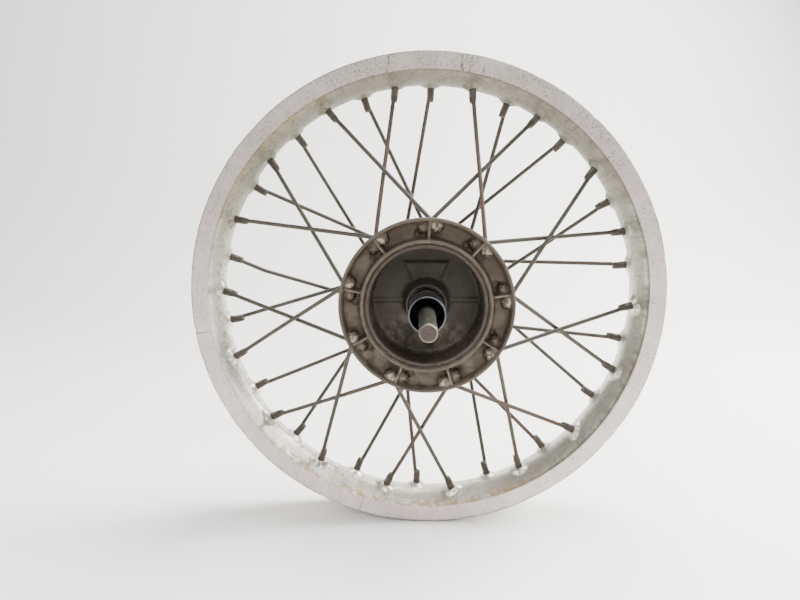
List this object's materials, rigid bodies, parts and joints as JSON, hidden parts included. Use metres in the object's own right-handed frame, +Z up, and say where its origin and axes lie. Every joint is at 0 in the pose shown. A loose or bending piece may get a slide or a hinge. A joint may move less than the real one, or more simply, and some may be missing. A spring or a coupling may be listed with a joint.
{
  "type": "spoked motorcycle wheel",
  "caption": "Used spoked motorcycle wheel with a drop-centre alloy rim, wire spokes, drum brake hub, ball bearings and axle.",
  "frame": {"origin": "middle of the axle, which is the centre of the whole wheel's box; the rim's middle plane is at y = +55.75 mm", "axes": "+Y along the axle towards the sprocket seat, brake drum on the -Y side, +Z up, +X to the right when the drum faces the viewer"},
  "size_m": [0.485, 0.2784, 0.485],
  "materials": {
    "worn_aluminium": "worn, dull, with dark pits and brown stains",
    "dirty_cast_aluminium": "rough cast, dirty and oxidised",
    "rusty_cast_iron": "rusted friction surface",
    "spoke_steel": "dull grey wire with rust spots, darker nipples",
    "bearing_steel": "ground",
    "brass_cage": "pressed brass cage with steel balls",
    "dull_steel": "dull",
    "rusty_steel": "dull with a light brown rust film",
    "black_enamel": "glossy black",
    "black_rubber": "matte"
  },
  "bodies": {
    "axle_assembly": {"axle": "rusty_steel", "axle_sleeve": "black_enamel", "axle_nut": "dull_steel", "axle_washer": "dull_steel", "sprocket_side_collar": "dull_steel", "bearing_spacer_tube": "dull_steel", "drum_side_bearing_inner_race": "bearing_steel", "sprocket_side_bearing_inner_race": "bearing_steel"},
    "wheel": {"rim": "worn_aluminium", "hub_shell": "dirty_cast_aluminium", "brake_drum_liner": "rusty_cast_iron", "drum_side_circlip": "dull_steel", "sprocket_side_oil_seal": "black_rubber", "drum_side_bearing_outer_race": "bearing_steel", "sprocket_side_bearing_outer_race": "bearing_steel", "spoke_with_nipple_01": "spoke_steel", "spoke_with_nipple_02": "spoke_steel", "spoke_with_nipple_03": "spoke_steel", "spoke_with_nipple_04": "spoke_steel", "spoke_with_nipple_05": "spoke_steel", "spoke_with_nipple_06": "spoke_steel", "spoke_with_nipple_07": "spoke_steel", "spoke_with_nipple_08": "spoke_steel", "spoke_with_nipple_09": "spoke_steel", "spoke_with_nipple_10": "spoke_steel", "spoke_with_nipple_11": "spoke_steel", "spoke_with_nipple_12": "spoke_steel", "spoke_with_nipple_13": "spoke_steel", "spoke_with_nipple_14": "spoke_steel", "spoke_with_nipple_15": "spoke_steel", "spoke_with_nipple_16": "spoke_steel", "spoke_with_nipple_17": "spoke_steel", "spoke_with_nipple_18": "spoke_steel", "spoke_with_nipple_19": "spoke_steel", "spoke_with_nipple_20": "spoke_steel", "spoke_with_nipple_21": "spoke_steel", "spoke_with_nipple_22": "spoke_steel", "spoke_with_nipple_23": "spoke_steel", "spoke_with_nipple_24": "spoke_steel", "spoke_with_nipple_25": "spoke_steel", "spoke_with_nipple_26": "spoke_steel", "spoke_with_nipple_27": "spoke_steel", "spoke_with_nipple_28": "spoke_steel", "spoke_with_nipple_29": "spoke_steel", "spoke_with_nipple_30": "spoke_steel", "spoke_with_nipple_31": "spoke_steel", "spoke_with_nipple_32": "spoke_steel", "spoke_with_nipple_33": "spoke_steel", "spoke_with_nipple_34": "spoke_steel", "spoke_with_nipple_35": "spoke_steel", "spoke_with_nipple_36": "spoke_steel"},
    "drum_side_balls": {"drum_side_bearing_balls_and_cage": "brass_cage"},
    "sprocket_side_balls": {"sprocket_side_bearing_balls_and_cage": "brass_cage"}
  },
  "joints": [
    {"name": "wheel_spin", "type": "hinge", "parent": "axle_assembly", "child": "wheel", "pos_m": [0, 0.05575, 0], "axis": [0, 1, 0], "continuous": true},
    {"name": "drum_side_cage_spin", "type": "hinge", "parent": "axle_assembly", "child": "drum_side_balls", "pos_m": [0, 0.00635, 0], "axis": [0, 1, 0], "continuous": true},
    {"name": "sprocket_side_cage_spin", "type": "hinge", "parent": "axle_assembly", "child": "sprocket_side_balls", "pos_m": [0, 0.09595, 0], "axis": [0, 1, 0], "continuous": true}
  ],
  "couplings": [
    {"joint": "drum_side_cage_spin", "follows": "wheel_spin", "ratio": 0.6044},
    {"joint": "sprocket_side_cage_spin", "follows": "wheel_spin", "ratio": 0.6044}
  ]
}
